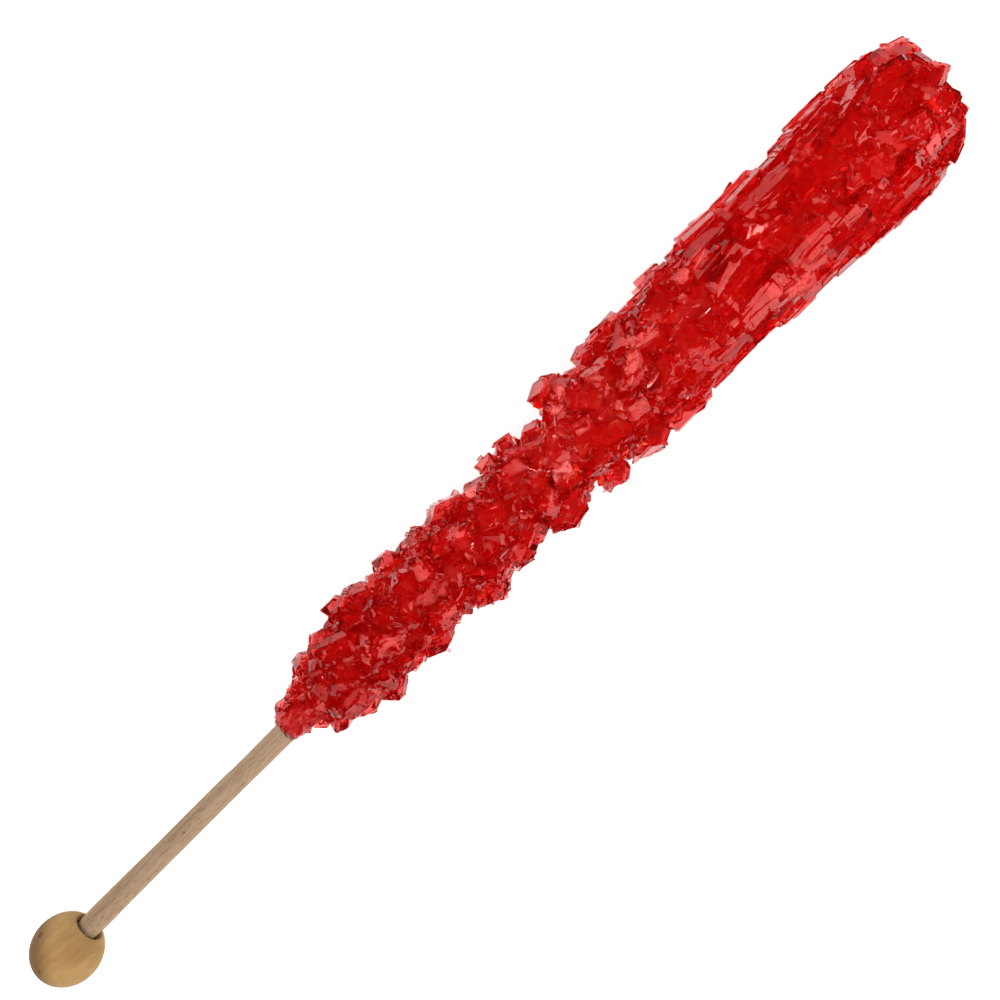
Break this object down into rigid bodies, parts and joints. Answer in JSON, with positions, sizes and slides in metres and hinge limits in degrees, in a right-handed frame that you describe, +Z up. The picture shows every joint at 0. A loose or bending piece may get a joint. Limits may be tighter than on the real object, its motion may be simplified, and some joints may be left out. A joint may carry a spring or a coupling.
{
  "type": "rock candy stick",
  "caption": "Club-shaped cluster of red sugar crystals grown along a round wooden dowel with a turned wooden bead as its handle, lying on its side.",
  "frame": {"origin": "on the table, under the middle of the bounding box", "axes": "+X along the stick from the bead to the candy's tip, +Z up from the table it lies on, +Y to the left of +X"},
  "size_m": [0.1728, 0.021, 0.0197],
  "materials": {
    "sugar": "clear deep red crystal with smooth glinting faces, paler pink where it is thin",
    "dowel_wood": "bare pale birch with fine lengthwise grain",
    "bead_wood": "smooth turned birch with a faint sheen and curved growth rings"
  },
  "bodies": {
    "root": {"candy": "sugar", "dowel": "dowel_wood", "bead": "bead_wood"}
  },
  "joints": []
}
